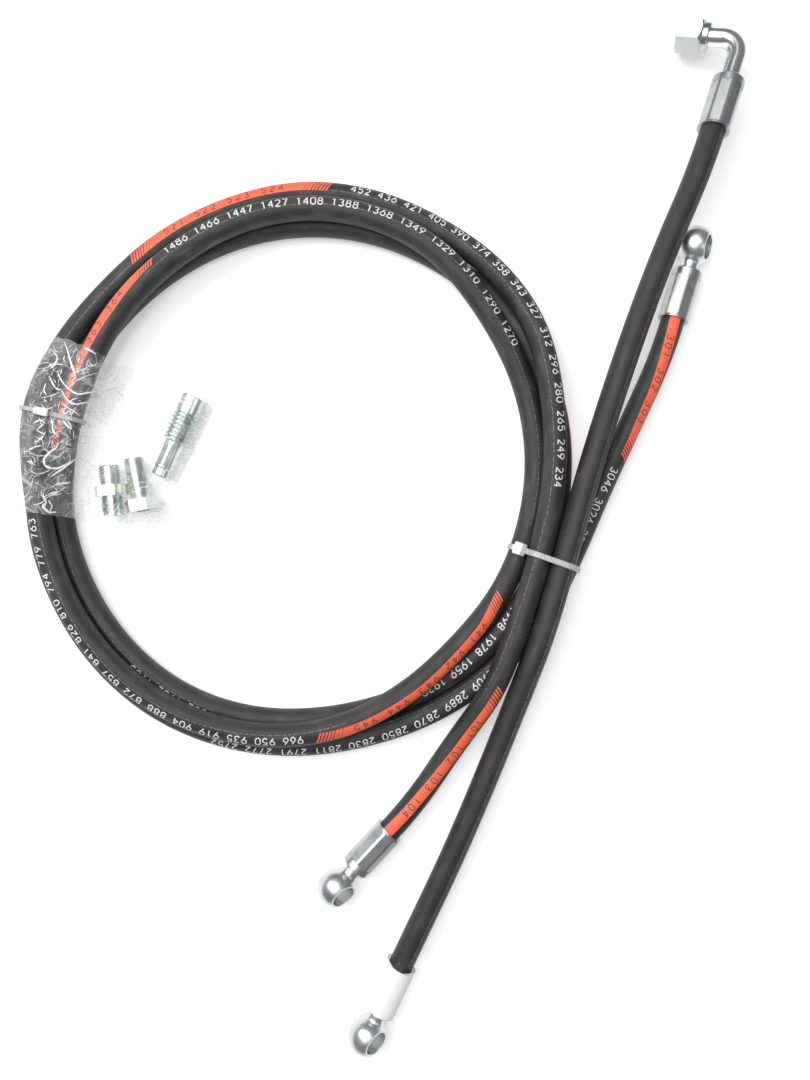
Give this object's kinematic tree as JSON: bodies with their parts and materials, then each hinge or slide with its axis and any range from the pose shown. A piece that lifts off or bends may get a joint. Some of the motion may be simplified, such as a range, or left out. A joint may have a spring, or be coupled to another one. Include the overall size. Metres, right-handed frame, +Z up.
{
  "type": "hydraulic hose assembly",
  "caption": "Long black hydraulic hose tied in a three-turn coil with a short hose over it, crimped banjo and swivel-elbow ends, and a clear bag of adapters.",
  "frame": {"origin": "on the ground under the middle of the box round everything but the hose", "axes": "+Z up off the ground, +Y towards the elbow end of the short hose, +X across to the straight hose's side"},
  "size_m": [0.4106, 0.5956, 0.0316],
  "materials": {
    "hose_a": "matte, fine fabric grain, printed",
    "hose_b": "matte, fine fabric grain",
    "liner": "smooth",
    "braid": "woven wire",
    "zinc_steel": "bright zinc plate",
    "label": "matt white",
    "nylon": "natural nylon",
    "film": "clear crumpled film"
  },
  "bodies": {
    "assembly": {"hose_a_coil": "hose_a", "hose_a_tail_p": "hose_a", "hose_a_tail_q": "hose_a", "hose_b": "hose_b", "hose_a_end_liner": "liner", "hose_a_end_braid": "braid", "hose_a_end_cover": "hose_a", "hose_b_end_liner": "liner", "hose_b_end_braid": "braid", "hose_b_end_cover": "hose_b", "ferrule_p": "zinc_steel", "ferrule_q": "zinc_steel", "ferrule_e": "zinc_steel", "ferrule_b": "zinc_steel", "banjo_p": "zinc_steel", "banjo_q": "zinc_steel", "banjo_b": "zinc_steel", "elbow_insert": "zinc_steel", "adapter_long": "zinc_steel", "adapter_union": "zinc_steel", "adapter_stud": "zinc_steel", "label": "label", "cable_tie_coil": "nylon", "cable_tie_bag": "nylon", "bag": "film"},
    "nut": {"swivel_nut": "zinc_steel"}
  },
  "joints": [
    {"name": "nut_swivel", "type": "hinge", "parent": "assembly", "child": "nut", "pos_m": [0.20312, 0.27877, 0.0226], "axis": [-0.8926, 0.2839, -0.3502], "continuous": true}
  ]
}
